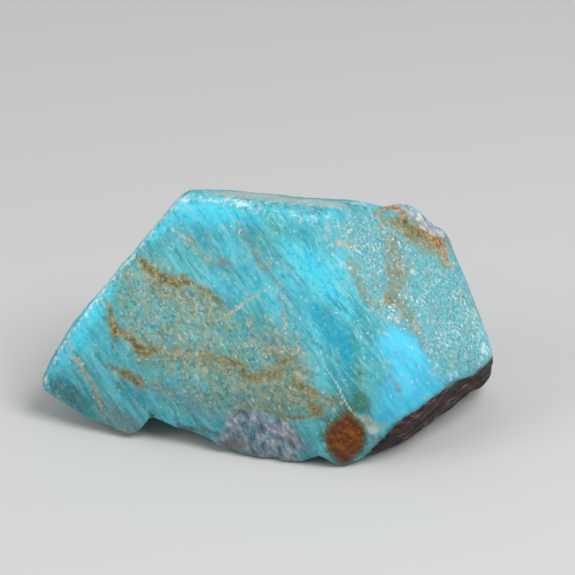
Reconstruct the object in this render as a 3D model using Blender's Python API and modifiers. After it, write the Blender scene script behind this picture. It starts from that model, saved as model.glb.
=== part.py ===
"""Rough amazonite: one broken and worn piece of blue-green feldspar.

Units are metres, +Z is up, and the front of the stone looks along -Y.
The stone stands on a small flat spot, with the middle of its box over the origin.
"""
import math

import bmesh
import bpy
from mathutils import Matrix, Vector
from mathutils.geometry import intersect_point_line

MM = 0.001

# Name of the stone and of its collection
STONE_NAME = "rough_amazonite"
COLLECTION_NAME = "rough_amazonite_stone"

# Block that the stone is broken out of, in millimetres. While the stone is shaped, x and y
# are counted from the toe, the lowest point of the front edge, and z from the table.
BLOCK_SIZE = (90.0, 70.0, 60.0)
BLOCK_CENTRE = (-10.0, 16.0, 22.0)

# Flat breaks, in millimetres and degrees: a point on the break, how far it is turned
# from the front (positive to the right), and how far it looks up
BREAKS = {
    "broad left front": ((-18.0, 6.6, 15.0), -18.0, 12.0),
    "narrow middle front": ((-4.0, 2.8, 15.8), -5.0, 15.0),
    "soft ridge": ((4.4, 3.5, 17.6), 19.0, 24.0),
    "right front": ((16.0, 6.2, 9.5), 42.0, 30.0),
    "upper right front": ((12.8, 20.1, 23.8), 58.0, 40.0),
    "top": ((-2.4, 7.4, 33.6), 146.0, 79.8),
    "top left": ((-19.5, 11.1, 33.45), -40.0, 74.0),
    "top back": ((-15.0, 15.1, 33.4), 167.0, 69.0),
    "top right corner": ((11.5, 20.5, 25.9), 80.0, 40.0),
    "upper left edge": ((-35.5, 12.4, 17.3), -114.0, 35.3),
    "left tip": ((-41.1, 12.2, 7.9), -106.0, 28.6),
    "left back": ((-28.0, 25.0, 15.0), -148.0, 12.0),
    "upper back": ((-8.0, 18.3, 32.0), 176.0, 44.0),
    "lower back": ((-4.0, 30.0, 14.0), 170.0, 4.0),
    "right back": ((17.35, 20.0, 15.8), 102.0, 15.0),
    "under the back": ((-6.0, 26.0, 3.0), 176.0, -50.0),
    "under the left": ((-36.9, 10.0, 2.3), -122.0, -67.6),
    "under the front": ((-12.0, 2.9, 0.0), -18.0, -60.0),
    "brown side": ((5.4, 2.2, 0.3), 54.0, -34.0),
    "beside the toe": ((1.6, 1.0, 0.0), 40.0, -40.0),
    "low right": ((3.0, 12.0, 0.0), 78.0, -84.5),
    "low back": ((-5.0, 21.5, 0.0), 172.0, -84.0),
    "low left": ((-20.0, 12.0, 0.0), -95.0, -84.5),
}

# Worn edges: width of the rounding in millimetres and its steps, then the size of the
# even mesh laid over the block and how often that mesh is smoothed
EDGE_WEAR = 1.3
EDGE_STEPS = 3
VOXEL = 0.7
WEAR_ROUNDS = 9
SMOOTHING = 0.5

# Hollows and bumps, in millimetres: two ends of a line, the reach around it, and the
# move of the surface at the line, which fades to nothing at the reach
DENTS = {
    "notch by the left lobe": ((-25.7, 4.0, 0.0), (-25.4, 10.0, 0.5), 3.4, (0.0, 0.4, 3.0)),
    "hollow under the front": ((-21.5, 6.0, 0.0), (-18.0, 8.0, 0.0), 7.0, (0.0, 0.3, 2.0)),
    "left lobe": ((-31.0, 7.5, 0.5), (-29.0, 7.5, 0.5), 2.8, (0.0, -0.2, -0.9)),
    "arch by the toe": ((-3.4, -3.0, 0.0), (-3.2, 4.0, 0.0), 2.8, (0.0, 0.0, 1.6)),
    "top right shoulder": ((7.8, 21.1, 27.7), (9.4, 22.1, 26.7), 3.6, (0.2, 0.5, 1.1)),
}

# Uneven break faces, in millimetres: size of the swells and ripples, and how far they
# stand out from hollow to crest
SWELL_SIZE = 11.0
SWELL_HEIGHT = 0.7
RIPPLE_SIZE = 3.5
RIPPLE_HEIGHT = 0.35
RIPPLE_SOFTENING = 5

# Finished solid: faces that are kept, shortest edge and how near a point counts as on a
# cut, both in millimetres, and the angle in degrees from which an edge is shown sharp
KEPT_TRIANGLES = 8200
SMALLEST_EDGE = 0.1
ON_PLANE = 0.0001
SHARP_ANGLE = 40.0

# Look of the stone
AMAZONITE_COLOUR = (0.13, 0.40, 0.42, 1.0)
AMAZONITE_ROUGHNESS = 0.42


def direction(turn, tilt):
    """Unit vector turned from the front and tilted up, both in degrees."""
    turn, tilt = math.radians(turn), math.radians(tilt)
    return Vector((math.sin(turn) * math.cos(tilt), -math.cos(turn) * math.cos(tilt), math.sin(tilt)))


def clear_scene():
    for item in list(bpy.data.objects):
        bpy.data.objects.remove(item, do_unlink=True)


def break_off(shape, point, normal):
    """Cut everything on the normal's side of a plane away and close the cut."""
    geometry = shape.verts[:] + shape.edges[:] + shape.faces[:]
    cut = bmesh.ops.bisect_plane(
        shape, geom=geometry, dist=ON_PLANE * MM, plane_co=point, plane_no=normal, clear_outer=True
    )
    rim = [item for item in cut["geom_cut"] if isinstance(item, bmesh.types.BMEdge)]
    if rim:
        bmesh.ops.edgenet_fill(shape, edges=rim)


def broken_block():
    """Mesh of the block after every flat break."""
    shape = bmesh.new()
    bmesh.ops.create_cube(shape, size=1.0)
    bmesh.ops.scale(shape, vec=[size * MM for size in BLOCK_SIZE], verts=shape.verts)
    bmesh.ops.translate(shape, vec=[place * MM for place in BLOCK_CENTRE], verts=shape.verts)
    for point, turn, tilt in BREAKS.values():
        break_off(shape, Vector(point) * MM, direction(turn, tilt))
    bmesh.ops.recalc_face_normals(shape, faces=shape.faces)
    mesh = bpy.data.meshes.new(STONE_NAME)
    shape.to_mesh(mesh)
    shape.free()
    return mesh


def apply_modifiers(thing):
    """Keep the mesh as its modifiers make it, and take the modifiers off."""
    view = bpy.context.evaluated_depsgraph_get()
    mesh = bpy.data.meshes.new_from_object(thing.evaluated_get(view))
    thing.modifiers.clear()
    thing.data = mesh


def dent(mesh, start, end, reach, move):
    """Push the surface near a line, all the way at the line and not at all at the reach."""
    start, end, move = Vector(start) * MM, Vector(end) * MM, Vector(move) * MM
    for vertex in mesh.vertices:
        nearest, along = intersect_point_line(vertex.co, start, end)
        nearest = start if along < 0.0 else end if along > 1.0 else nearest
        nearness = 1.0 - (vertex.co - nearest).length / (reach * MM)
        if nearness > 0.0:
            vertex.co += move * nearness * nearness * (3.0 - 2.0 * nearness)


def add_swell(thing, name, size, height):
    """Uneven surface from a cloud pattern that is the same on each run."""
    texture = bpy.data.textures.new(name, "CLOUDS")
    texture.noise_scale = size * MM
    texture.noise_depth = 1
    swell = thing.modifiers.new(name, "DISPLACE")
    swell.texture = texture
    swell.texture_coords = "LOCAL"
    swell.strength = height * MM


def wear_edges(thing):
    """Round the sharp edges and give the stone an even mesh."""
    bevel = thing.modifiers.new("worn edges", "BEVEL")
    bevel.width = EDGE_WEAR * MM
    bevel.segments = EDGE_STEPS
    bevel.use_clamp_overlap = False
    remesh = thing.modifiers.new("even mesh", "REMESH")
    remesh.mode = "VOXEL"
    remesh.voxel_size = VOXEL * MM
    smooth = thing.modifiers.new("wear", "SMOOTH")
    smooth.factor = SMOOTHING
    smooth.iterations = WEAR_ROUNDS
    apply_modifiers(thing)


def roughen(thing):
    """Make the flat breaks uneven, then keep only the faces that the shape needs."""
    add_swell(thing, "swells", SWELL_SIZE, SWELL_HEIGHT)
    add_swell(thing, "ripples", RIPPLE_SIZE, RIPPLE_HEIGHT)
    soften = thing.modifiers.new("soft ripples", "SMOOTH")
    soften.factor = SMOOTHING
    soften.iterations = RIPPLE_SOFTENING
    decimate = thing.modifiers.new("fewer faces", "DECIMATE")
    decimate.ratio = KEPT_TRIANGLES / (2.0 * len(thing.data.polygons))
    apply_modifiers(thing)


def flatten_foot(mesh):
    """Cut the stone at the table's height, which leaves the flat spot that it stands on."""
    shape = bmesh.new()
    shape.from_mesh(mesh)
    break_off(shape, Vector((0.0, 0.0, 0.0)), Vector((0.0, 0.0, -1.0)))
    bmesh.ops.remove_doubles(shape, verts=shape.verts, dist=SMALLEST_EDGE * MM)
    bmesh.ops.triangulate(shape, faces=shape.faces)
    bmesh.ops.recalc_face_normals(shape, faces=shape.faces)
    shape.to_mesh(mesh)
    shape.free()


def centre(mesh):
    """Put the middle of the box over the origin, with the flat spot at z = 0."""
    middle = Vector()
    for axis in (0, 1):
        places = [vertex.co[axis] for vertex in mesh.vertices]
        middle[axis] = (min(places) + max(places)) / 2.0
    mesh.transform(Matrix.Translation(-middle))


def amazonite():
    """Material of the whole stone."""
    material = bpy.data.materials.new("amazonite")
    material.use_nodes = True
    shader = material.node_tree.nodes["Principled BSDF"]
    shader.inputs["Base Color"].default_value = AMAZONITE_COLOUR
    shader.inputs["Roughness"].default_value = AMAZONITE_ROUGHNESS
    shader.inputs["Metallic"].default_value = 0.0
    return material


clear_scene()
collection = bpy.data.collections.new(COLLECTION_NAME)
bpy.context.scene.collection.children.link(collection)
stone = bpy.data.objects.new(STONE_NAME, broken_block())
collection.objects.link(stone)
wear_edges(stone)
for start, end, reach, move in DENTS.values():
    dent(stone.data, start, end, reach, move)
roughen(stone)
flatten_foot(stone.data)
centre(stone.data)
stone.data.materials.append(amazonite())
stone.data.shade_smooth()
stone.data.set_sharp_from_angle(angle=math.radians(SHARP_ANGLE))
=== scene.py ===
"""Looks of a piece of rough amazonite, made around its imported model.

Metres and +Z up, with the broad front of the stone along -Y. Sizes of the surface and of its
markings are given in millimetres.
"""
import math

import bpy
import numpy as np
from mathutils import Matrix, Vector
from mathutils.bvhtree import BVHTree


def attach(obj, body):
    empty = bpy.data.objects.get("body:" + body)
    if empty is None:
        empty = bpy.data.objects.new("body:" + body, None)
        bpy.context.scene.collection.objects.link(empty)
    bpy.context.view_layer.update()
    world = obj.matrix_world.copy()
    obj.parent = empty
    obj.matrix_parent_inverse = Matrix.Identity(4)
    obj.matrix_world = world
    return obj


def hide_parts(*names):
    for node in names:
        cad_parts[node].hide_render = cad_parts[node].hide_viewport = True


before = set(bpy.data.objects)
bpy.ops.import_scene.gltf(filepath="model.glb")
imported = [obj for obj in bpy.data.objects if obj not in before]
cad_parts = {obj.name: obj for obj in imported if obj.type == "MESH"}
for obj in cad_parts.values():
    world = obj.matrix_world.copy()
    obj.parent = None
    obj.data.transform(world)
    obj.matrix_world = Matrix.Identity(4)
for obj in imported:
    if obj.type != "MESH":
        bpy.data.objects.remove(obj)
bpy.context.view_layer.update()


# Camera: it looks down on the broad front of the stone, from where the stone was
# photographed. The places of the markings are traced in that same picture.
MM = 0.001
PICTURE_SIDE = 575.0
PIXELS_PER_MM = 7.485
VIEW_DISTANCE = 467.0
VIEW_TILT = math.radians(26.0)
VIEW_CENTRE = Vector((2.73, -5.11, 21.55))
SENSOR_WIDTH = 36.0
NEAREST_SEEN = 10.0
INTO = Vector((0.0, math.cos(VIEW_TILT), -math.sin(VIEW_TILT)))
ACROSS = Vector((1.0, 0.0, 0.0))
UPWARD = Vector((0.0, math.sin(VIEW_TILT), math.cos(VIEW_TILT)))
EYE = VIEW_CENTRE - INTO * VIEW_DISTANCE

camera_data = bpy.data.cameras.new("camera")
camera_data.sensor_width = SENSOR_WIDTH
camera_data.lens = SENSOR_WIDTH * VIEW_DISTANCE * PIXELS_PER_MM / PICTURE_SIDE
camera_data.clip_start = NEAREST_SEEN * MM
camera = bpy.data.objects.new("camera", camera_data)
camera.location = EYE * MM
camera.rotation_euler = (math.pi / 2.0 - VIEW_TILT, 0.0, 0.0)
bpy.context.scene.collection.objects.link(camera)
bpy.context.scene.camera = camera


# The stone: one broken piece of blue-green feldspar, worn smooth like wax. It is a finer
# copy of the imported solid, which then gets its markings, its relief and its finish.
MERGE_GAP = 0.002
EVEN_MESH = 0.29
SOFTENING = 0.5
SOFTENING_ROUNDS = 3


def select_only(thing):
    """Select and activate one thing, because an operator acts on all that is selected."""
    bpy.ops.object.select_all(action="DESELECT")
    thing.select_set(True)
    bpy.context.view_layer.objects.active = thing


def apply_all(thing):
    """Keep the shape that the modifiers give."""
    select_only(thing)
    for name in [modifier.name for modifier in thing.modifiers]:
        bpy.ops.object.modifier_apply(modifier=name)


stone = bpy.data.objects.new("amazonite_stone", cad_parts["rough_amazonite"].data.copy())
bpy.context.scene.collection.objects.link(stone)
stone.data.materials.clear()
select_only(stone)
bpy.ops.object.mode_set(mode="EDIT")
bpy.ops.mesh.select_all(action="SELECT")
bpy.ops.mesh.remove_doubles(threshold=MERGE_GAP * MM)
bpy.ops.mesh.customdata_custom_splitnormals_clear()
bpy.ops.object.mode_set(mode="OBJECT")

even = stone.modifiers.new("even mesh", "REMESH")
even.mode = "VOXEL"
even.voxel_size = EVEN_MESH * MM
soften = stone.modifiers.new("soften", "SMOOTH")
soften.factor = SOFTENING
soften.iterations = SOFTENING_ROUNDS
apply_all(stone)


# Places of the markings. Each stroke is a line on the photographed side: pixels across and
# down the picture, half width in millimetres, and strength. It runs on into the stone. An
# outline is a row of pixels across and down, and holds where the picture sees the stone.
TINY = 1e-9


def read(thing, name):
    """Three numbers of every vertex, such as its place or its normal."""
    numbers = np.empty(len(thing.data.vertices) * 3)
    thing.data.vertices.foreach_get(name, numbers)
    return numbers.reshape(-1, 3)


def smooth_step(low, high, values):
    """0 up to the low value, 1 from the high one, and a soft step between them."""
    part = np.clip((values - low) / (high - low), 0.0, 1.0)
    return part * part * (3.0 - 2.0 * part)


places = read(stone, "co") / MM
normals = read(stone, "normal")
surface = BVHTree.FromPolygons(
    [vertex.co / MM for vertex in stone.data.vertices],
    [tuple(face.vertices) for face in stone.data.polygons],
)

# 1 where the picture sees the stone, 0 where the stone turns away from it
seen = smooth_step(-0.05, 0.25, -normals @ np.array(INTO))


def on_stone(across, down):
    """Where the line of sight through a pixel of the picture meets the stone, or passes by it."""
    side = (across - PICTURE_SIDE / 2.0) / PIXELS_PER_MM
    height = (PICTURE_SIDE / 2.0 - down) / PIXELS_PER_MM
    sight = (VIEW_CENTRE + ACROSS * side + UPWARD * height - EYE).normalized()
    hit = surface.ray_cast(EYE, sight)[0]
    return np.array(hit or surface.find_nearest(EYE + sight * VIEW_DISTANCE)[0])


def pixels(points):
    """Pixel across and pixel down of each point."""
    from_centre = points - np.array(VIEW_CENTRE)
    nearness = VIEW_DISTANCE / (VIEW_DISTANCE + from_centre @ np.array(INTO)) * PIXELS_PER_MM
    across = PICTURE_SIDE / 2.0 + from_centre @ np.array(ACROSS) * nearness
    down = PICTURE_SIDE / 2.0 - from_centre @ np.array(UPWARD) * nearness
    return np.stack([across, down], axis=1)


def strokes_mark(strokes, reach=9.0):
    """How strongly each point carries a marking that is drawn in strokes.

    Nearer to or further from the camera than the stroke, it fades from half its reach on.
    """
    into = np.array(INTO)
    sheet = np.array([ACROSS, UPWARD]).T
    flat = places @ sheet
    depth = places @ into
    amount = np.zeros(len(places))
    for stroke in strokes:
        traced = np.array([on_stone(across, down) for across, down, _, _ in stroke])
        widths = np.array([(width, strength) for _, _, width, strength in stroke])
        for this in range(max(1, len(stroke) - 1)):
            after = min(this + 1, len(stroke) - 1)
            start = traced[this] @ sheet
            step = traced[after] @ sheet - start
            along = np.clip((flat - start) @ step / max(step @ step, TINY), 0.0, 1.0)[:, None]
            gap = np.linalg.norm(flat - start - along * step, axis=1)
            width, strength = (widths[this] + along * (widths[after] - widths[this])).T
            sunk = depth - (traced[this] + along * (traced[after] - traced[this])) @ into
            fade = 1.0 - smooth_step(0.5 * reach, reach, np.abs(sunk))
            amount = np.maximum(amount, strength * np.exp(-((gap / width) ** 2)) * fade)
    return amount


def region_mark(outline, softness):
    """1 inside an outline traced in the picture, 0 outside it, softly, where the picture sees it."""
    spots = pixels(places)
    corners = np.array(outline, float)
    inside = np.zeros(len(spots), bool)
    gap = np.full(len(spots), np.inf)
    for start, end in zip(corners, np.roll(corners, -1, axis=0)):
        step = end - start
        along = np.clip((spots - start) @ step / (step @ step), 0.0, 1.0)
        gap = np.minimum(gap, np.linalg.norm(spots - start - along[:, None] * step, axis=1))
        crosses = (start[1] > spots[:, 1]) != (end[1] > spots[:, 1])
        if step[1]:
            crosses &= spots[:, 0] < start[0] + step[0] * (spots[:, 1] - start[1]) / step[1]
            inside ^= crosses
    signed = np.where(inside, gap, -gap) / PIXELS_PER_MM
    return smooth_step(-softness, softness, signed) * seen


# Thin ochre veins, some with a side branch
OCHRE_VEINS = [
    [(134, 257, 0.3, 0.8), (143, 262, 0.5, 0.9), (151, 270, 0.6, 1.0), (162, 279, 0.8, 1.0),
     (176, 282, 0.9, 1.0), (190, 284, 0.6, 0.9), (204, 291, 0.6, 0.8), (216, 299, 0.5, 0.8),
     (229, 309, 0.35, 0.5)],
    [(176, 282, 0.5, 0.9), (183, 276, 0.5, 0.8)],
    [(104, 299, 0.3, 0.7), (108, 305, 0.4, 0.8), (111, 315, 0.5, 1.0), (113, 324, 0.7, 1.0),
     (116, 331, 0.8, 1.0), (123, 332, 0.6, 0.9), (129, 338, 0.7, 0.9), (137, 347, 0.8, 1.0),
     (144, 352, 0.8, 1.0), (156, 351, 0.6, 0.6)],
    [(107, 366, 0.4, 0.7), (117, 370, 0.5, 0.8), (128, 375, 0.7, 1.0), (138, 383, 0.6, 0.9),
     (147, 387, 0.4, 0.6)],
    [(190, 354, 1.0, 0.3), (215, 357, 0.9, 0.5), (229, 360, 0.6, 0.7), (238, 366, 0.6, 0.9),
     (244, 371, 0.7, 0.7), (250, 377, 0.9, 0.8), (261, 376, 0.9, 0.7), (272, 374, 0.9, 0.6),
     (282, 372, 1.0, 0.6), (290, 370, 0.6, 0.4)],
    [(292, 381, 0.6, 0.6), (302, 387, 0.6, 0.8), (308, 390, 0.6, 0.9), (318, 395, 0.5, 0.5),
     (328, 399, 0.5, 0.4), (337, 402, 0.4, 0.4)],
    [(306, 398, 0.5, 0.4), (309, 404, 0.6, 0.6), (318, 411, 0.7, 0.9), (323, 414, 0.4, 0.5)],
    [(265, 411, 0.3, 0.7), (279, 416, 0.3, 0.7), (292, 418, 0.35, 0.8), (305, 417, 0.35, 0.8),
     (314, 415, 0.3, 0.7)],
    [(150, 344, 0.3, 0.3), (158, 333, 0.4, 0.6), (172, 325, 0.4, 0.6), (182, 321, 0.3, 0.3)],
    [(278, 362, 0.9, 0.6), (293, 360, 0.7, 0.6)],
    [(386, 221, 0.9, 0.4), (402, 223, 1.3, 0.6), (414, 228, 1.8, 0.75), (426, 235, 1.9, 0.85),
     (437, 243, 1.6, 0.8)],
    [(388, 299, 0.6, 0.9)],
    [(392, 268, 1.2, 0.3), (398, 280, 1.2, 0.3), (391, 292, 0.9, 0.35)],
]

# Olive beside the veins, in the lobe and around the iron, and under the notch a dark olive rim along
# the bottom edge that is painted shade
OLIVE_SHADE = [
    [(140, 268, 0.9, 0.5), (160, 287, 1.2, 0.6), (190, 294, 1.4, 0.6), (222, 312, 1.2, 0.5)],
    [(106, 318, 0.8, 0.5), (118, 342, 1.2, 0.6), (140, 360, 1.2, 0.5)],
    [(58, 386, 1.4, 0.8), (74, 396, 1.8, 0.9), (92, 408, 1.4, 0.6)], [(120, 384, 0.9, 0.5)],
    [(166, 423, 0.3, 0.7), (180, 428, 0.5, 0.9), (200, 438, 0.5, 0.9), (218, 446, 0.5, 0.8)],
    [(333, 420, 1.2, 0.8), (324, 436, 0.9, 0.9), (328, 453, 0.8, 0.7)],
    [(334, 398, 1.6, 0.6), (345, 408, 1.6, 0.9), (356, 412, 1.0, 0.8)],
    [(359, 398, 1.3, 0.7), (366, 411, 1.2, 0.8), (372, 420, 0.7, 0.6)],
    [(461, 299, 0.8, 0.9), (468, 301, 0.5, 0.8)],
]

# Cream grains in lines: down the left wing, across the middle, and by the top
CREAM_VEINS = [
    [(68, 343, 0.25, 0.6), (73, 354, 0.3, 0.9), (78.5, 362.5, 0.4, 1.0), (86, 374, 0.35, 0.9),
     (91, 382, 0.3, 0.8), (97, 392, 0.35, 0.9), (99.5, 402, 0.3, 0.8), (103, 411, 0.3, 0.8),
     (106, 421, 0.25, 0.5)],
    [(217, 321, 0.2, 0.5), (231, 313, 0.25, 0.9), (242, 304, 0.3, 0.9), (255, 296, 0.3, 0.9),
     (269, 288, 0.2, 0.4)],
    [(173, 229, 0.3, 0.4), (182, 236, 0.3, 0.5), (193, 250, 0.4, 0.6), (210, 261, 0.3, 0.4)],
    [(242, 230, 0.4, 0.7)], [(269, 218, 0.3, 0.7)], [(270, 263, 0.4, 0.7)],
    [(250, 321.6, 0.55, 0.8)], [(268, 318, 0.5, 0.6)], [(284, 318, 0.3, 0.6), (284, 330, 0.3, 0.7)],
    [(297, 342, 0.4, 0.7), (298, 351, 0.4, 0.7)],
    [(273, 316, 0.25, 0.4), (276, 330, 0.3, 0.5), (282, 350, 0.3, 0.5)],
    [(333, 245, 0.5, 0.6), (343, 243, 0.6, 0.8), (352, 247, 0.4, 0.6)],
    [(325, 229, 0.4, 0.6), (326, 240, 0.4, 0.6)],
    [(382, 226, 0.3, 0.6), (391, 232, 0.3, 0.6)],
    [(405, 310, 0.25, 0.8)], [(415, 318, 0.25, 0.8)], [(413.5, 325.6, 0.3, 0.9)],
    [(376, 341, 0.2, 0.4), (384, 356, 0.2, 0.5), (390, 370, 0.2, 0.4)],
    [(362, 418, 0.6, 1.0), (368, 424, 0.7, 1.0), (376, 428, 0.7, 1.0)], [(383, 424, 0.5, 0.8)],
]

# White: a hair vein from the middle to the toe, frost on the top edge, and single grains
WHITE_VEINS = [
    [(311, 320, 0.14, 0.4), (314, 338, 0.14, 0.5), (318, 344, 0.14, 0.5), (321, 354, 0.14, 0.6),
     (325, 367, 0.15, 0.6), (332, 376, 0.15, 0.7), (338, 386, 0.16, 0.8), (343, 398, 0.16, 0.9),
     (349, 408, 0.17, 0.9), (356, 416, 0.18, 0.9), (361, 425, 0.18, 0.7), (368, 430, 0.6, 1.0),
     (375, 431, 0.5, 1.0)],
    [(301, 297, 0.3, 0.6)], [(306, 301, 0.3, 0.6)], [(313.5, 307.6, 0.3, 0.6)],
    [(82, 364, 0.3, 1.0)], [(187, 200, 0.4, 0.8)], [(229, 199, 0.45, 1.0)],
    [(250, 203, 0.3, 0.9)], [(259, 204, 0.3, 0.8)], [(275, 201, 0.3, 0.7)], [(328, 217, 0.3, 0.9)],
    [(350, 268, 0.35, 0.7)], [(412.4, 271.3, 0.45, 0.8)], [(437, 365, 0.3, 0.9)],
    [(388.6, 317, 0.25, 0.8)], [(354.5, 414, 0.25, 0.9)], [(433.4, 374, 0.25, 0.8)],
]

# Rust orange along the chipped corner, and specks of it on the veins
ORANGE_STAINS = [
    [(384, 205, 0.3, 0.6), (391, 206, 0.5, 1.0), (398, 209, 0.7, 1.0), (404, 214, 0.6, 0.9),
     (411, 221, 0.5, 0.6), (420, 228, 0.5, 0.5), (428, 234, 0.6, 0.65), (437, 240, 0.9, 0.8),
     (442, 245, 0.9, 0.85), (444, 252, 0.7, 0.7), (448, 262, 0.5, 0.6), (452, 272, 0.4, 0.4)],
    [(238.5, 366.6, 0.3, 0.7)], [(307, 389.5, 0.35, 0.7)], [(317.6, 410.6, 0.4, 0.8)],
    [(128, 375, 0.25, 0.5)], [(114, 325, 0.3, 0.5)], [(366, 421, 0.3, 0.7)],
    [(369.6, 339.4, 0.2, 0.6)], [(361.6, 382.5, 0.2, 0.6)], [(433, 374, 0.2, 0.6)],
    [(255, 193.5, 0.3, 0.5)], [(341, 206, 0.4, 0.5), (350, 206, 0.3, 0.5)],
]

# Small dark spots by the chip and in the green spot, and painted shade in the hollow of the notch and
# under the ledge of the grey patch
DARK_SPOTS_AND_SHADE = [
    [(405.7, 221.5, 0.45, 1.0)], [(359.6, 373.6, 0.35, 1.0), (360.5, 377, 0.25, 0.7)],
    [(463, 297, 0.3, 0.8)], [(151, 417, 0.5, 1.0)],
    [(230, 421, 0.25, 0.6), (240, 411, 0.3, 0.8), (254, 413, 0.2, 0.5), (268, 411, 0.25, 0.6)],
]

# Green: a spot on the ridge with a tail to the toe, and two faint clouds
GREEN_SHADE = [
    [(352, 330, 1.2, 0.4), (358, 352, 1.3, 0.6), (359.6, 373.6, 1.6, 1.0), (358, 388, 1.4, 0.8),
     (362, 404, 1.2, 0.8)],
    [(262, 212, 1.2, 0.4), (278, 225, 1.3, 0.5), (290, 240, 1.0, 0.4)],
    [(460, 296, 1.0, 0.6), (466, 320, 1.0, 0.4)],
]

# Warm haze of tan, cream and brown grains, on both sides
WARM_HAZE = [
    [(384, 224, 1.0, 0.6), (391, 238, 1.3, 0.7), (395, 255, 1.6, 0.8), (398, 272, 1.8, 0.9),
     (395, 288, 1.7, 0.9), (389, 300, 1.1, 0.8)],
    [(350, 262, 0.8, 0.7), (356, 280, 0.8, 0.7), (366, 297, 0.8, 0.7), (378, 312, 0.8, 0.6)],
    [(396, 298, 1.3, 0.8), (406, 312, 1.4, 0.8), (415, 324, 1.0, 0.8), (421, 340, 0.7, 0.6),
     (430, 356, 0.6, 0.5)],
    [(392, 224, 1.2, 0.8), (404, 227, 1.5, 1.0), (419, 235, 1.5, 1.0), (433, 244, 1.3, 1.0),
     (441, 254, 0.9, 0.8), (446, 266, 0.7, 0.6)],
    [(142, 268, 0.9, 0.7), (158, 286, 1.6, 0.7), (186, 300, 2.2, 0.7), (214, 316, 1.8, 0.6)],
    [(128, 332, 1.2, 0.7), (145, 346, 1.8, 0.8), (168, 352, 2.2, 0.8), (192, 356, 2.4, 0.8),
     (216, 362, 2.2, 0.8), (240, 374, 2.2, 0.9), (270, 382, 2.6, 1.0), (298, 394, 2.6, 1.0),
     (314, 406, 2.0, 0.9), (332, 404, 1.4, 0.7)],
    [(124, 370, 0.8, 0.7), (142, 382, 1.0, 0.8), (164, 390, 1.2, 0.7)],
    [(262, 340, 2.0, 0.6), (285, 352, 2.2, 0.7), (300, 368, 2.0, 0.8)],
    [(240, 405, 1.0, 0.7), (262, 408, 1.2, 0.8), (290, 412, 1.4, 0.8)],
    [(84, 372, 0.7, 0.6), (96, 392, 0.7, 0.6), (104, 412, 0.6, 0.5)],
    [(100, 424, 1.2, 0.5), (124, 428, 1.2, 0.5)], [(388, 344, 0.4, 0.5), (382, 330, 0.4, 0.5)],
    [(390, 376, 0.5, 0.6), (400, 392, 0.5, 0.5)], [(250, 388, 2.0, 0.7), (282, 396, 2.4, 0.9)],
    [(190, 238, 0.8, 0.4), (212, 262, 1.0, 0.5), (240, 268, 0.9, 0.4)],
    [(236, 226, 0.7, 0.5), (250, 248, 0.8, 0.5), (280, 286, 1.0, 0.5), (288, 316, 1.2, 0.6)],
    [(122, 266, 1.0, 0.6), (134, 290, 1.2, 0.5)],
]

# Clear bright cyan: the top of the broad front, its left edge, and beside the ridge
BRIGHT_CYAN = [
    [(152, 238, 1.0, 0.8), (172, 208, 1.8, 1.0), (200, 213, 2.2, 1.0), (236, 216, 2.0, 0.8),
     (258, 222, 1.2, 0.4)],
    [(52, 372, 1.0, 0.8), (72, 342, 1.3, 1.0), (96, 308, 1.2, 0.9), (118, 282, 1.0, 0.6)],
    [(286, 244, 1.6, 0.6), (305, 262, 2.4, 0.9), (326, 286, 2.2, 0.8), (348, 314, 1.4, 0.6)],
    [(330, 214, 1.2, 0.6), (352, 222, 1.2, 0.6)],
    [(396, 308, 0.7, 0.8)], [(372, 256, 1.2, 0.7)], [(420, 272, 1.6, 0.6), (432, 300, 1.4, 0.5)],
]

# Dull pinkish grey: the low lump of the grey patch, and the rim under the iron spot
DULL_SPOTS = [
    [(230, 442, 0.8, 1.0), (241, 446, 0.8, 1.0)], [(338, 463, 0.4, 0.7), (352, 465, 0.4, 0.8)],
]

# Whitish worn edges, partly painted highlight where the rims catch the light: the left edge, the top
# edge, the top strip, and the right edge
PALE_EDGES_AND_RIM_HIGHLIGHTS = [
    [(44, 380, 0.25, 0.8), (52, 366, 0.25, 1.0), (68, 337, 0.25, 1.0), (86, 312, 0.25, 1.0),
     (104, 288, 0.25, 1.0), (130, 258, 0.35, 1.0), (144, 240, 0.3, 0.9), (160, 220, 0.3, 0.9),
     (172, 206, 0.4, 1.0)],
    [(178, 200, 0.5, 1.0), (192, 197, 0.5, 1.0), (215, 199, 0.4, 0.8), (250, 203, 0.4, 0.9),
     (275, 202, 0.35, 0.8), (300, 206, 0.25, 0.4), (330, 214, 0.35, 0.6)],
    [(335, 203, 0.3, 0.6), (358, 203, 0.5, 1.0), (378, 206, 0.3, 0.7)],
    [(474, 308, 0.6, 0.6), (482, 326, 1.0, 0.9), (486, 346, 1.2, 1.0), (478, 362, 0.7, 0.8)],
    [(450, 375, 0.6, 0.8), (458, 374, 0.5, 0.8)],
]

# Top strip behind the upper edge: frosty, and pale partly as painted sheen, with a few warm grains
TOP_STRIP = [
    [(205, 193, 0.4, 0.5), (235, 194, 0.7, 1.0), (265, 196, 0.7, 1.0), (290, 200, 0.5, 0.8),
     (318, 203, 0.6, 1.0), (340, 206, 0.5, 0.8)],
]

# Deep teal beside the streaks, on the ridge and in the lobe
DEEP_TEAL = [
    [(316, 310, 1.5, 0.8), (334, 334, 1.8, 1.0), (350, 356, 1.6, 0.8), (346, 386, 1.0, 0.5)],
    [(198, 226, 1.0, 0.5), (206, 250, 0.8, 0.5)], [(300, 230, 1.0, 0.5), (318, 246, 0.8, 0.5)],
    [(60, 386, 1.6, 0.8), (85, 402, 1.8, 0.8)], [(150, 322, 0.8, 0.5), (168, 338, 0.8, 0.5)],
    [(228, 300, 1.0, 0.6), (246, 330, 1.0, 0.7), (286, 346, 1.0, 0.6)],
    [(384, 418, 1.2, 0.7), (404, 402, 1.2, 0.6), (428, 388, 1.0, 0.5)],
]

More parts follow.
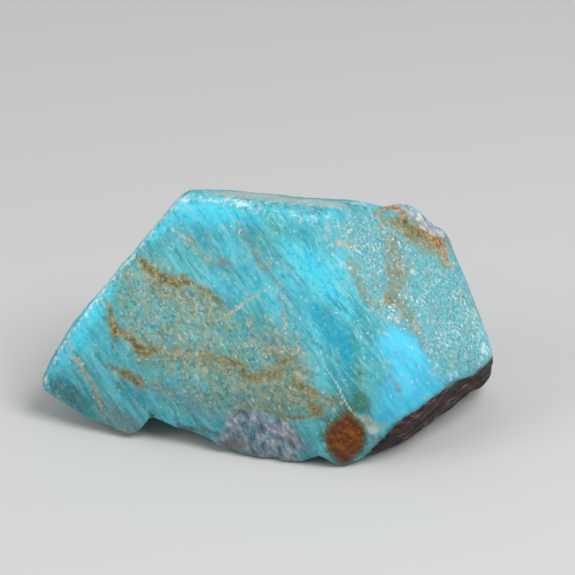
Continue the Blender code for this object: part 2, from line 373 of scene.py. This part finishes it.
# Dusky blue low down on the broad front
DUSKY_BLUE = [
    [(176, 396, 1.8, 0.8), (212, 406, 2.2, 1.0), (250, 399, 1.8, 0.9), (270, 402, 1.0, 0.5)],
    [(286, 432, 1.8, 0.8), (306, 446, 1.4, 0.8)], [(104, 416, 1.8, 0.8), (132, 424, 1.6, 1.0)],
    [(376, 440, 1.0, 0.8)],
]

# Notch between the left lobe and the front, cut a little deeper
NOTCH = [[(150.5, 417, 0.7, 1.0), (151, 420, 0.6, 0.8)]]

# Outlines of the larger parts: the chip, the iron spot, the grey patch, the sky-blue cleavage,
# the brown side, the sparkling right side, and the speckled middle of the broad front
CHIP_OUTLINE = [
    (404, 200), (425, 202), (440, 215), (450, 228), (452, 237), (438, 236.5), (429.7, 233), (423, 228),
    (416.4, 220.7), (411.5, 214), (405, 209),
]
IRON_OUTLINE = [
    (325, 441), (327, 431), (332, 424), (339, 419), (345, 413), (351, 414), (358, 420), (363, 427),
    (365.5, 435), (364, 445), (359, 454), (352, 460), (344, 464), (336, 460), (329, 451),
]
GREY_OUTLINE = [
    (226, 418), (240, 408), (250, 412), (265, 410.6), (273, 417), (286, 419.5), (296, 428),
    (302, 442), (300, 470), (215, 470), (214, 441), (222, 430),
]
SKY_OUTLINE = [
    (380.8, 338.4), (389, 326), (405, 329), (421.6, 337), (426.7, 350.6), (432, 365), (441, 378),
    (440, 395), (420, 409), (402, 421), (388, 431), (374, 418), (389, 368), (376.7, 350.6),
]
BROWN_SIDE_OUTLINE = [
    (492, 358), (482, 367), (473.6, 375), (460, 379), (449, 387), (431, 398), (413, 411.5),
    (397, 421), (383, 437), (371, 449), (363, 457), (366, 475), (410, 475), (500, 430), (515, 360),
]
SPARKLE_OUTLINE = [
    (330, 222), (352, 214), (392, 212), (420, 228), (445, 242), (462, 270), (485, 315), (492, 350),
    (470, 372), (440, 375), (428, 350), (421, 334), (402, 325), (385, 322), (372, 300), (352, 262),
]
SPECKLED_OUTLINE = [
    (120, 268), (150, 256), (190, 283), (228, 308), (258, 324), (292, 334), (310, 354), (318, 388),
    (300, 412), (262, 406), (230, 412), (200, 402), (178, 384), (144, 364), (122, 334), (114, 304),
]


def eased(points, rounds):
    """Places after every vertex has moved to the middle of its neighbours, round after round."""
    ends = np.empty(len(stone.data.edges) * 2, int)
    stone.data.edges.foreach_get("vertices", ends)
    one, other = ends.reshape(-1, 2).T
    neighbours = np.bincount(ends, minlength=len(points))
    for _ in range(rounds):
        sums = [
            np.bincount(one, points[other, axis], len(points))
            + np.bincount(other, points[one, axis], len(points))
            for axis in range(3)
        ]
        points = np.stack(sums, axis=1) / neighbours[:, None]
    return points


# The brown side runs on out of sight, as far as the same flat break goes
BROWN_FACING = np.array([0.671, -0.487, -0.559])
hidden_part = 1.0 - seen
brown_seen = region_mark(BROWN_SIDE_OUTLINE, softness=0.5)
toward_brown = places @ BROWN_FACING
below_break = toward_brown - np.median(toward_brown[brown_seen > 0.9])
brown_hidden = smooth_step(0.55, 0.75, normals @ BROWN_FACING) * hidden_part
brown_hidden *= smooth_step(-1.6, -0.8, below_break)

# An edge is worn where it stands out from the same shape with its edges eased away, but not
# down at the foot
EASING_ROUNDS = 20
stand_out = ((places - eased(places, EASING_ROUNDS)) * normals).sum(axis=1)
above_floor = places[:, 2]
marks = {
    "hidden": hidden_part,
    "worn": smooth_step(0.06, 0.2, stand_out) * smooth_step(1.0, 6.0, above_floor),
    # frost along the rims, partly painted highlight
    "edges": strokes_mark(PALE_EDGES_AND_RIM_HIGHLIGHTS, reach=3.5),
    "strip": strokes_mark(TOP_STRIP, reach=4.0),
    # how near the floor a point is, for the painted shade at the foot
    "low": 1.0 - smooth_step(2.0, 18.0, above_floor),
    "ochre": strokes_mark(OCHRE_VEINS),
    "olive": strokes_mark(OLIVE_SHADE, reach=5.0),
    "warm": strokes_mark(WARM_HAZE, reach=7.0),
    "bright": strokes_mark(BRIGHT_CYAN, reach=7.0),
    "deep": strokes_mark(DEEP_TEAL, reach=7.0),
    "dusky": strokes_mark(DUSKY_BLUE, reach=7.0),
    "green": strokes_mark(GREEN_SHADE, reach=4.0),
    "cream": strokes_mark(CREAM_VEINS),
    "white": strokes_mark(WHITE_VEINS),
    "orange": strokes_mark(ORANGE_STAINS, reach=5.0),
    "dark": strokes_mark(DARK_SPOTS_AND_SHADE),
    "dull": strokes_mark(DULL_SPOTS),
    "notch": strokes_mark(NOTCH, reach=4.0),
    "iron": region_mark(IRON_OUTLINE, softness=0.8),
    "chip": region_mark(CHIP_OUTLINE, softness=0.15),
    "grey": region_mark(GREY_OUTLINE, softness=0.9),
    "sky": region_mark(SKY_OUTLINE, softness=1.4),
    "sparkle": region_mark(SPARKLE_OUTLINE, softness=2.2),
    "speckled": region_mark(SPECKLED_OUTLINE, softness=2.5),
    "brown_rim": region_mark(BROWN_SIDE_OUTLINE, softness=1.2),
    "brown": np.minimum(1.0, brown_seen + brown_hidden),
}


# Relief. Layers of the feldspar slant down to the right on the broad front, and those of the
# brown side run along its upper edge. Sizes and heights are in millimetres.
def layer_turn(facing, run):
    """Turn of a pattern whose first axis crosses the layers and whose second runs along them."""
    facing = Vector(facing).normalized()
    run = Vector(run).normalized()
    return Matrix((facing, run, facing.cross(run))).transposed()


LAYER_FACING = (0.773, -0.111, 0.627)
LAYER_RUN = (0.56, -0.35, -0.753)
LAYER_TURN = layer_turn(LAYER_FACING, LAYER_RUN)
BROWN_RUN = Vector((0.666, 0.727, 0.166))
BROWN_TURN = layer_turn(BROWN_RUN.cross(Vector(BROWN_FACING)), BROWN_RUN)
NO_TURN = Matrix.Identity(3)
LEAST_SHARE = 0.01


def relief(name, share, height, sizes=None, turn=NO_TURN):
    """Make the surface uneven, as far as the share of each point goes.

    The sizes are those of the lumps along the three axes of the turn. Without sizes, the
    surface moves out by the whole height, or in where that is negative.
    """
    group = stone.vertex_groups.new(name=name)
    for index in np.flatnonzero(share > LEAST_SHARE):
        group.add([int(index)], float(share[index]), "REPLACE")
    uneven = stone.modifiers.new(name, "DISPLACE")
    uneven.vertex_group = name
    uneven.strength = height * MM
    uneven.mid_level = 0.0
    if sizes is None:
        apply_all(stone)
        return
    guide = bpy.data.objects.new(name, None)
    bpy.context.scene.collection.objects.link(guide)
    guide.rotation_euler = turn.to_euler()
    guide.scale = [size * MM for size in sizes]
    bpy.context.view_layer.update()
    uneven.mid_level = 0.5
    uneven.texture = bpy.data.textures.new(name, "CLOUDS")
    uneven.texture.noise_scale = 1.0
    uneven.texture_coords = "OBJECT"
    uneven.texture_coords_object = guide
    apply_all(stone)
    bpy.data.objects.remove(guide)


broken_parts = np.maximum(marks["brown"], marks["grey"])
whole_parts = 1.0 - broken_parts
stepped_parts = whole_parts * (1.0 - 0.7 * marks["sky"])
grainy_parts = whole_parts * (0.35 + 0.65 * marks["sparkle"])
relief("layer steps", stepped_parts, height=0.14, sizes=(1.0, 6.0, 4.0), turn=LAYER_TURN)
relief("grain", grainy_parts, height=0.16, sizes=(0.8, 0.8, 0.8))
relief("quartz lumps", marks["grey"], height=0.9, sizes=(1.7, 2.2, 1.7), turn=LAYER_TURN)
relief("brown ledges", marks["brown"], height=1.0, sizes=(1.1, 6.0, 2.5), turn=BROWN_TURN)
relief("edge nicks", marks["worn"], height=0.45, sizes=(1.3, 1.3, 1.3))
relief("open veins", marks["ochre"], height=-0.12)
relief("iron pit", marks["iron"], height=-0.12)
relief("chip", marks["chip"], height=-0.35)
relief("notch", marks["notch"], height=-0.6)
stone.vertex_groups.clear()

# The foot stays flat: what the relief pushed below the floor is pressed back onto it
bpy.ops.object.mode_set(mode="EDIT")
bpy.ops.mesh.select_all(action="DESELECT")
bpy.ops.object.mode_set(mode="OBJECT")
stone.data.vertices.foreach_set("select", read(stone, "co")[:, 2] < 0.0)
bpy.ops.object.mode_set(mode="EDIT")
bpy.ops.transform.resize(value=(1.0, 1.0, 0.0), center_override=(0.0, 0.0, 0.0))
bpy.ops.object.mode_set(mode="OBJECT")

# The finish reads each marking by its name
for name, amount in marks.items():
    stone.data.attributes.new(name, "FLOAT", "POINT").data.foreach_set("value", amount)


# Finish: clear blue-green feldspar with a waxy skin, ochre and cream grains, frosted worn edges
# with painted highlights along the rims, and a matt brown broken side darkened by painted shade.
# Colours are red, green and blue from 0 to 255. Sizes are in millimetres, because the patterns
# read the stone's own places times a thousand.
def colour(red, green, blue):
    """Shader colour from a measured one."""
    shares = [value / 255.0 for value in (red, green, blue)]
    return [s / 12.92 if s < 0.04045 else ((s + 0.055) / 1.055) ** 2.4 for s in shares] + [1.0]


amazonite = bpy.data.materials.new("amazonite")
amazonite.use_nodes = True
tree = amazonite.node_tree
shader = tree.nodes["Principled BSDF"]


def node(kind, feeds, **settings):
    """New node of the finish, fed by other nodes or by plain values."""
    made = tree.nodes.new("ShaderNode" + kind)
    for name, value in settings.items():
        setattr(made, name, value)
    for name, value in feeds.items():
        if isinstance(value, bpy.types.NodeSocket):
            tree.links.new(value, made.inputs[name])
        else:
            made.inputs[name].default_value = value
    return made


def reckon(kind, first, second):
    """One sum, product or other reckoning of two values."""
    return node("Math", {0: first, 1: second}, operation=kind).outputs[0]


def times(first, *others):
    for other in others:
        first = reckon("MULTIPLY", first, other)
    return first


def plus(first, *others):
    for other in others:
        first = reckon("ADD", first, other)
    return first


def mark(name):
    """A marking of the stone, by its name."""
    return node("Attribute", {}, attribute_name=name).outputs["Fac"]


def between(value, low, high, bottom=0.0, top=1.0):
    """Soft step from the bottom to the top as the value goes from low to high."""
    feeds = {"Value": value, "From Min": low, "From Max": high, "To Min": bottom, "To Max": top}
    return node("MapRange", feeds, interpolation_type="SMOOTHSTEP").outputs["Result"]


def mixed(share, under, over, blend="MIX"):
    """One look laid over another, as far as the share goes."""
    mix = node("Mix", {0: share, 6: under, 7: over}, data_type="RGBA", blend_type=blend)
    return mix.outputs[2]


def cloud(place, size=1.0, detail=2.0, roughness=0.5):
    """Cloud pattern with lumps of about the size."""
    feeds = {"Vector": place, "Scale": 1.0 / size, "Detail": detail, "Roughness": roughness}
    return node("TexNoise", feeds)


def shade(place, size=1.0, **settings):
    """One number from 0 to 1 out of a cloud pattern."""
    return cloud(place, size, **settings).outputs["Fac"]


def warped(place, size, strength):
    """Places moved about by a cloud pattern, up to about the strength."""
    feeds = {0: cloud(place, size).outputs["Color"], 1: (strength,) * 3, 2: place}
    return node("VectorMath", feeds, operation="MULTIPLY_ADD").outputs[0]


def palette(value, *steps):
    """Colours along a value, each with the place where it starts to show."""
    ramp = node("ValToRGB", {"Fac": value})
    elements = ramp.color_ramp.elements
    elements[0].position, elements[0].color = steps[0]
    elements[1].position, elements[1].color = steps[-1]
    for position, tint in steps[1:-1]:
        elements.new(position).color = tint
    return ramp.outputs["Color"]


def layered(place, turn, across, along, deep):
    """Places in units of a pattern's size across the layers, along them and into them."""
    feeds = {"Vector": place, "Rotation": turn.to_euler(), "Scale": (across, along, deep)}
    return node("Mapping", feeds, vector_type="TEXTURE").outputs[0]


def thin_lines(value, edge, core):
    """Lines where a pattern passes its middle value, full up to the core and gone at the edge."""
    return between(reckon("ABSOLUTE", plus(value, -0.5), 0.0), edge, core)


# Patterns: wide ones for clouds of colour, layered ones for the streaks of the feldspar, and
# fine ones for grain and broken edges
MM_PER_METRE = 1000.0
own_place = node("TexCoord", {}).outputs["Object"]
straight = node("Mapping", {"Vector": own_place, "Scale": (MM_PER_METRE,) * 3}).outputs[0]
place = warped(warped(straight, size=7.0, strength=2.0), size=1.5, strength=0.3)
grain_place = warped(place, size=0.35, strength=0.3)

wide = shade(straight, 13.0)
drift = shade(straight, 9.0)
patches = shade(straight, 3.2, detail=3.0)
lumpy = shade(straight, 1.5, detail=4.0, roughness=0.6)
ragged = shade(straight, 0.7, detail=3.0)
mottle = shade(place, 0.6, detail=4.0, roughness=0.65)
grains = shade(place, 0.42, detail=3.0, roughness=0.7)
bands = shade(layered(place, LAYER_TURN, 1.8, 12.0, 8.0), detail=1.0)
threads = shade(layered(place, LAYER_TURN, 0.6, 4.5, 3.0), detail=3.0, roughness=0.6)
hairs = shade(layered(place, LAYER_TURN, 0.3, 2.2, 1.4), detail=3.0, roughness=0.6)
torn = shade(layered(straight, LAYER_TURN, 0.45, 0.9, 0.7), detail=3.0)
wisps = shade(layered(place, LAYER_TURN, 1.6, 2.6, 2.0), detail=3.0, roughness=0.55)
wisps = thin_lines(wisps, edge=0.045, core=0.005)

# Markings that also turn up on the hidden sides, in clouds and veins of their own
hidden = mark("hidden")
sparkle = between(plus(mark("sparkle"), times(hidden, between(drift, 0.52, 0.64))), 0.0, 1.0)
speckled = between(plus(mark("speckled"), times(hidden, between(drift, 0.5, 0.38))), 0.0, 1.0)
warm = plus(mark("warm"), times(hidden, between(lumpy, 0.52, 0.7), 0.5))
olive = plus(mark("olive"), times(hidden, between(wide, 0.44, 0.36), 0.8))
grey = plus(mark("grey"), times(hidden, between(wide, 0.57, 0.66)))
hidden_veins = shade(layered(place, LAYER_TURN, 9.0, 16.0, 12.0), detail=3.0, roughness=0.55)
hidden_veins = thin_lines(hidden_veins, edge=0.014, core=0.002)
hidden_veins = times(hidden, hidden_veins, between(patches, 0.38, 0.55, bottom=0.3, top=0.9))
ochre = plus(mark("ochre"), hidden_veins)


def broken(amount, pattern, raggedness, low, high, share=1.0):
    """A marking whose edge is broken up by a pattern, and that stays where its amount is.

    The raggedness is how far the pattern moves the amount up and down. The marking starts at
    the low amount, and at the high one it reaches its full share.
    """
    uneven = between(plus(amount, times(plus(pattern, -0.5), raggedness)), low, high)
    return times(uneven, between(amount, 0.0, 0.2), share)


def cast(name, share):
    """A soft tint, with its edge drawn out along the layers."""
    return broken(mark(name), torn, raggedness=0.8, low=0.1, high=0.9, share=share)


def specks(size):
    """Grains of about one size: how round, how likely, and a number for the colour of each."""
    grain = layered(grain_place, LAYER_TURN, 0.8 * size, 1.3 * size, size)
    cells = node("TexVoronoi", {"Vector": grain, "Scale": 1.0})
    parts = node("SeparateColor", {"Color": cells.outputs["Color"]})
    roundness = between(cells.outputs["Distance"], 0.75, 0.2)
    return roundness, parts.outputs["Red"], parts.outputs["Green"]


def strewn(grains_of_size, density):
    """Share of the surface that the grains cover where they lie at a density from 0 to 1."""
    roundness, chance, _ = grains_of_size
    return times(roundness, between(plus(chance, density), 0.9, 1.2))


small_grains = specks(0.32)
large_grains = specks(0.62)


def strewn_over(under, density, share, *steps):
    """Look with small and large grains of a palette strewn over it."""
    small_look = palette(small_grains[2], *steps)
    large_look = palette(large_grains[2], *steps)
    under = mixed(times(strewn(large_grains, density), 0.75 * share), under, large_look)
    return mixed(times(strewn(small_grains, density), share), under, small_look)


# Body: bands of two teals, greyer and deeper clouds, then the zones with a tint of their own
BAND_DARK = colour(58, 162, 178)
BAND_LIGHT = colour(80, 202, 222)
GREY_CLOUD = colour(92, 170, 164)
DEEP_CLOUD = colour(50, 146, 162)
BRIGHT_TINT = colour(66, 216, 244)
DEEP_TINT = colour(16, 160, 190)
DUSKY_TINT = colour(112, 152, 164)
OLIVE_AND_NOTCH_SHADE = colour(72, 88, 52)
GREEN_TINT = colour(52, 136, 100)
look = mixed(between(bands, 0.36, 0.62), BAND_DARK, BAND_LIGHT)
look = mixed(times(between(drift, 0.46, 0.62), 0.5), look, GREY_CLOUD)
look = mixed(times(between(patches, 0.55, 0.35), 0.35), look, DEEP_CLOUD)
look = mixed(cast("bright", 0.9), look, BRIGHT_TINT)
look = mixed(cast("deep", 0.85), look, DEEP_TINT)
look = mixed(cast("dusky", 0.8), look, DUSKY_TINT)
# Olive tint, with painted shade along the bottom edge under the notch
olive_and_notch_shade_share = broken(olive, lumpy, raggedness=1.2, low=0.1, high=0.9, share=0.85)
green_share = broken(mark("green"), lumpy, raggedness=1.2, low=0.15, high=0.9, share=0.7)
look = mixed(olive_and_notch_shade_share, look, OLIVE_AND_NOTCH_SHADE)
look = mixed(green_share, look, GREEN_TINT)

# Streaks: pale and dark threads, paler hairs, and a fine mottle all over
PALE_THREAD = colour(134, 212, 218)
DARK_THREAD = colour(34, 124, 148)
PALE_HAIR = colour(164, 214, 212)
PALE_MOTTLE = colour(132, 206, 206)
DARK_MOTTLE = colour(44, 128, 144)
streaky = times(
    between(patches, 0.36, 0.6, bottom=0.4, top=1.0),
    between(mark("deep"), 0.2, 1.0, bottom=1.0, top=0.4),
)
look = mixed(times(between(threads, 0.5, 0.66), streaky, 0.6), look, PALE_THREAD)
look = mixed(times(between(threads, 0.46, 0.32), streaky, 0.6), look, DARK_THREAD)
look = mixed(times(between(hairs, 0.52, 0.68), streaky, 0.45), look, PALE_HAIR)
look = mixed(times(between(mottle, 0.52, 0.66), 0.3), look, PALE_MOTTLE)
look = mixed(times(between(mottle, 0.46, 0.34), 0.4), look, DARK_MOTTLE)

# Smooth sky-blue cleavage
SKY_DARK = colour(70, 196, 234)
SKY_LIGHT = colour(84, 216, 252)
sky_look = mixed(between(threads, 0.34, 0.6), SKY_DARK, SKY_LIGHT)
look = mixed(times(mark("sky"), 0.85), look, sky_look)

# Grains of the rough right side
SPARKLE_GROUND = colour(112, 172, 176)
grain_look = palette(
    grains,
    (0.3, colour(62, 124, 134)),
    (0.42, colour(88, 166, 178)),
    (0.52, colour(112, 190, 200)),
    (0.62, colour(150, 206, 208)),
    (0.74, colour(220, 234, 234)),
)
look = mixed(times(sparkle, between(lumpy, 0.4, 0.6, bottom=0.3, top=0.8)), look, SPARKLE_GROUND)
look = mixed(times(sparkle, between(patches, 0.3, 0.55, bottom=0.45, top=0.85)), look, grain_look)

# Cream, pink, gold and green grains, thick in the speckled parts and thin elsewhere
SPECKLED_GROUND = colour(116, 158, 144)
WARM_GROUND = colour(120, 124, 94)
SPECKLED_SHADE = colour(44, 132, 138)
STRAW_WISPS = colour(178, 180, 132)
CREAM_WISPS = colour(186, 176, 144)
look = mixed(times(speckled, between(lumpy, 0.36, 0.6, bottom=0.25, top=0.75)), look, SPECKLED_GROUND)
warm_share = broken(warm, lumpy, raggedness=1.5, low=0.15, high=1.0, share=0.7)
look = mixed(warm_share, look, WARM_GROUND)
look = mixed(times(speckled, between(mottle, 0.49, 0.38), 0.75), look, SPECKLED_SHADE)
look = mixed(times(speckled, wisps, between(ragged, 0.42, 0.58), 0.6), look, STRAW_WISPS)
look = mixed(times(warm, wisps, 0.5), look, CREAM_WISPS)
speck_density = plus(
    times(speckled, between(lumpy, 0.4, 0.6, bottom=0.2, top=0.45)),
    times(warm, 0.4),
    times(between(patches, 0.5, 0.66), 0.14),
    times(sparkle, between(lumpy, 0.42, 0.6, bottom=0.08, top=0.45)),
)
speck_density = times(speck_density, between(mark("sky"), 0.6, 0.2))
look = strewn_over(
    look, speck_density, 0.6,
    (0.0, colour(84, 110, 88)),
    (0.16, colour(138, 134, 90)),
    (0.32, colour(170, 172, 134)),
    (0.46, colour(124, 180, 162)),
    (0.6, colour(184, 186, 162)),
    (0.75, colour(196, 176, 166)),
    (0.88, colour(170, 206, 200)),
    (1.0, colour(224, 230, 222)),
)

# White grains among them on the right side, partly painted glints
WHITE_GRAIN_AND_GLINT = colour(240, 248, 250)
white_grain_and_glint_density = times(sparkle, between(patches, 0.4, 0.6, bottom=0.05, top=0.22))
look = mixed(times(strewn(small_grains, white_grain_and_glint_density), 0.9), look, WHITE_GRAIN_AND_GLINT)

# Grey quartz-like patch at the foot of the front, more of it out of sight, and the dull spots
DULL_TINT = colour(134, 124, 118)
quartz_place = layered(warped(place, size=1.4, strength=0.8), LAYER_TURN, 0.8, 1.5, 1.2)
grey_look = palette(
    shade(quartz_place, detail=3.0, roughness=0.6),
    (0.34, colour(78, 90, 98)),
    (0.44, colour(112, 138, 160)),
    (0.52, colour(148, 156, 170)),
    (0.6, colour(190, 180, 188)),
    (0.7, colour(220, 220, 226)),
)
grey_share = broken(grey, lumpy, raggedness=2.0, low=0.25, high=1.0, share=0.9)
dull_share = broken(mark("dull"), lumpy, raggedness=1.2, low=0.1, high=0.9, share=0.8)
look = mixed(grey_share, look, grey_look)
look = mixed(dull_share, look, DULL_TINT)

# Ochre veins: dark olive inside, gold and cream grains around
OCHRE_HALO = colour(152, 156, 110)
ochre_look = palette(
    mottle,
    (0.36, colour(70, 68, 26)),
    (0.46, colour(104, 88, 32)),
    (0.54, colour(138, 116, 50)),
    (0.66, colour(186, 160, 98)),
)
ochre_edge = plus(times(ragged, 0.5), times(lumpy, 0.5))
ochre_share = broken(ochre, ochre_edge, raggedness=1.8, low=0.1, high=1.05)
ochre_halo = broken(ochre, lumpy, raggedness=1.4, low=-0.05, high=0.8, share=0.4)
look = mixed(ochre_halo, look, OCHRE_HALO)
look = mixed(times(ochre_share, 0.85), look, ochre_look)
look = strewn_over(
    look, times(ochre, 0.22), 0.4,
    (0.0, colour(120, 102, 50)),
    (0.35, colour(160, 140, 78)),
    (0.7, colour(196, 184, 140)),
    (1.0, colour(206, 200, 180)),
)

# Cream and white grains
CREAM_HAZE = colour(178, 184, 158)
WHITE_GRAIN = colour(206, 228, 226)
look = strewn_over(
    look, times(mark("cream"), 0.95), 0.85,
    (0.0, colour(180, 136, 86)),
    (0.3, colour(192, 184, 140)),
    (0.6, colour(186, 196, 176)),
    (0.8, colour(204, 180, 164)),
    (1.0, colour(226, 228, 218)),
)
cream_share = broken(mark("cream"), mottle, raggedness=2.4, low=0.3, high=1.0, share=0.4)
white_share = broken(mark("white"), ragged, raggedness=0.6, low=0.15, high=0.8, share=0.75)
look = mixed(cream_share, look, CREAM_HAZE)
look = mixed(white_share, look, WHITE_GRAIN)

# Strip along the top: frosty and paler as painted sheen, with a few warm grains
STRIP_FROST_AND_SHEEN = colour(176, 206, 200)
strip_frost_and_sheen_share = broken(mark("strip"), ragged, raggedness=1.2, low=0.1, high=0.9, share=0.75)
look = mixed(strip_frost_and_sheen_share, look, STRIP_FROST_AND_SHEEN)
look = strewn_over(
    look, times(mark("strip"), 0.6), 0.8,
    (0.0, colour(190, 150, 124)),
    (0.5, colour(180, 200, 190)),
    (1.0, colour(232, 240, 238)),
)

# Frosty worn edges with painted highlights along the rims, and the deep teal once more over the grains
# that lie on it
DEEP_OVERTONE = colour(24, 160, 186)
frost_and_highlight_look = palette(
    ragged,
    (0.4, colour(112, 216, 232)),
    (0.5, colour(160, 226, 236)),
    (0.6, colour(232, 246, 248)),
)
frost_and_highlight = plus(times(mark("worn"), 0.8), mark("edges"))
frost_and_highlight = times(frost_and_highlight, between(lumpy, 0.4, 0.58, bottom=0.45, top=1.0))
frost_and_highlight_share = broken(frost_and_highlight, mottle, raggedness=2.2, low=0.25, high=1.2, share=0.85)
deep_share = broken(mark("deep"), lumpy, raggedness=0.8, low=0.2, high=0.9, share=0.3)
look = mixed(frost_and_highlight_share, look, frost_and_highlight_look)
look = mixed(deep_share, look, DEEP_OVERTONE)

# Rust by the chip, small dark spots with painted shade in the notch and under the grey ledge, and the
# chipped corner
DARK_SPOT_AND_SHADE_COLOUR = colour(76, 70, 54)
orange_look = palette(
    mottle,
    (0.38, colour(140, 98, 48)),
    (0.48, colour(180, 122, 66)),
    (0.56, colour(204, 150, 98)),
    (0.66, colour(226, 196, 158)),
)
chip_look = palette(
    shade(straight, 1.1, detail=4.0),
    (0.36, colour(132, 138, 140)),
    (0.5, colour(178, 180, 182)),
    (0.64, colour(214, 216, 222)),
)
orange_share = broken(mark("orange"), lumpy, raggedness=1.2, low=0.1, high=0.95, share=0.8)
dark_spot_and_shade_share = broken(mark("dark"), mottle, raggedness=1.4, low=0.2, high=0.95, share=0.8)
chip_share = broken(mark("chip"), ragged, raggedness=0.5, low=0.35, high=0.6)
look = mixed(orange_share, look, orange_look)
look = mixed(dark_spot_and_shade_share, look, DARK_SPOT_AND_SHADE_COLOUR)
look = mixed(chip_share, look, chip_look)

# Iron spot: rust brown in a dark olive halo
IRON_HALO = colour(84, 84, 42)
coarse_rust = shade(straight, 0.8, detail=3.0)
fine_rust = shade(straight, 0.25, detail=3.0)
iron_look = palette(
    plus(times(coarse_rust, 0.7), times(fine_rust, 0.3)),
    (0.38, colour(80, 44, 2)),
    (0.46, colour(108, 54, 0)),
    (0.53, colour(134, 66, 0)),
    (0.62, colour(166, 90, 16)),
)
iron_halo = broken(mark("iron"), lumpy, raggedness=1.6, low=-0.1, high=0.6, share=0.8)
iron_share = broken(mark("iron"), ragged, raggedness=0.9, low=0.3, high=0.95)
look = mixed(iron_halo, look, IRON_HALO)
look = mixed(iron_share, look, iron_look)

# Painted shade: the colour darkens towards the foot
UNSHADED_COLOUR = colour(255, 255, 255)
FOOT_SHADE_COLOUR = colour(178, 184, 180)
painted_foot_shade = mixed(times(mark("low"), 0.75), UNSHADED_COLOUR, FOOT_SHADE_COLOUR)
look = mixed(1.0, look, painted_foot_shade, blend="MULTIPLY")

# Brown broken side, with a dark teal rim. Its brown is darkened as painted shade, because the side
# faces down and away from the lamps
BROWN_RIM = colour(30, 54, 52)
brown_place = layered(place, BROWN_TURN, 0.7, 2.4, 1.4)
brown_threads = shade(brown_place, detail=5.0, roughness=0.65)
brown_with_painted_shade = palette(
    brown_threads,
    (0.34, colour(8, 9, 7)),
    (0.44, colour(26, 20, 17)),
    (0.52, colour(56, 38, 31)),
    (0.59, colour(92, 70, 66)),
    (0.68, colour(156, 130, 126)),
)
brown_tint = palette(
    lumpy,
    (0.38, colour(96, 104, 90)),
    (0.5, colour(200, 180, 170)),
    (0.6, colour(255, 200, 186)),
)
brown_with_painted_shade = mixed(0.8, brown_with_painted_shade, brown_tint, blend="MULTIPLY")
rim_share = broken(mark("brown_rim"), lumpy, raggedness=1.0, low=0.2, high=0.8, share=0.85)
brown = broken(mark("brown"), ragged, raggedness=0.6, low=0.5, high=0.85)
look = mixed(rim_share, look, BROWN_RIM)
look = mixed(brown, look, brown_with_painted_shade)
tree.links.new(look, shader.inputs["Base Color"])

# Waxy skin that lets a little light in, matt on the veins and the brown side
WAX_ROUGHNESS = 0.42
roughness = plus(
    WAX_ROUGHNESS,
    times(ochre_share, 0.2),
    times(brown, 0.2),
    times(sparkle, plus(grains, -0.5), -0.6),
)
tree.links.new(roughness, shader.inputs["Roughness"])
shader.inputs["Subsurface Weight"].default_value = 0.12
shader.inputs["Subsurface Scale"].default_value = 1.2 * MM
shader.inputs["Subsurface Radius"].default_value = (0.4, 0.9, 1.0)
shader.inputs["Specular IOR Level"].default_value = 0.35
shader.inputs["Coat Weight"].default_value = 0.06
shader.inputs["Coat Roughness"].default_value = 0.25

# Finest unevenness, heights in millimetres
fine_height = plus(
    times(threads, 0.04),
    times(mottle, 0.07),
    times(sparkle, grains, 0.12),
    times(brown, brown_threads, 0.3),
)
bump = node("Bump", {"Height": fine_height, "Distance": MM, "Strength": 1.0})
tree.links.new(bump.outputs["Normal"], shader.inputs["Normal"])

stone.data.materials.append(amazonite)
stone.data.shade_smooth()

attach(stone, "root")
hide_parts("rough_amazonite")


# Floor: a plain pale matt board under the stone, so large that its edge never shows. It is a
# stage for the picture and no part of the stone.
FLOOR_SIDE = 6.0
FLOOR_COLOUR = colour(214, 214, 212)
FLOOR_ROUGHNESS = 0.7
bpy.ops.object.select_all(action="DESELECT")
bpy.ops.mesh.primitive_plane_add(size=FLOOR_SIDE, location=(0.0, 0.0, 0.0))
floor = bpy.context.active_object
floor.name = "floor"
board = bpy.data.materials.new("pale_board")
board.use_nodes = True
board_shader = board.node_tree.nodes["Principled BSDF"]
board_shader.inputs["Base Color"].default_value = FLOOR_COLOUR
board_shader.inputs["Roughness"].default_value = FLOOR_ROUGHNESS
floor.data.materials.append(board)


# Studio light: one large soft box above and to the right, a weaker one on the left, and an
# even pale room. Places and sizes are in metres, powers in watts.
ROOM_COLOUR = (0.9, 0.92, 0.95, 1.0)
ROOM_STRENGTH = 0.42


def soft_box(name, place, size, power):
    """Square lamp that faces the stone."""
    data = bpy.data.lights.new(name, "AREA")
    data.size = size
    data.energy = power
    lamp = bpy.data.objects.new(name, data)
    lamp.location = place
    lamp.rotation_euler = (-Vector(place)).to_track_quat("-Z", "Y").to_euler()
    bpy.context.scene.collection.objects.link(lamp)


soft_box("key_light", place=(0.26, -0.30, 0.50), size=0.35, power=2.9)
soft_box("fill_light", place=(-0.45, -0.25, 0.30), size=0.30, power=0.8)
room = bpy.data.worlds.new("room")
room.use_nodes = True
background = room.node_tree.nodes["Background"]
background.inputs["Color"].default_value = ROOM_COLOUR
background.inputs["Strength"].default_value = ROOM_STRENGTH
bpy.context.scene.world = room
bpy.context.scene.view_settings.view_transform = "Standard"
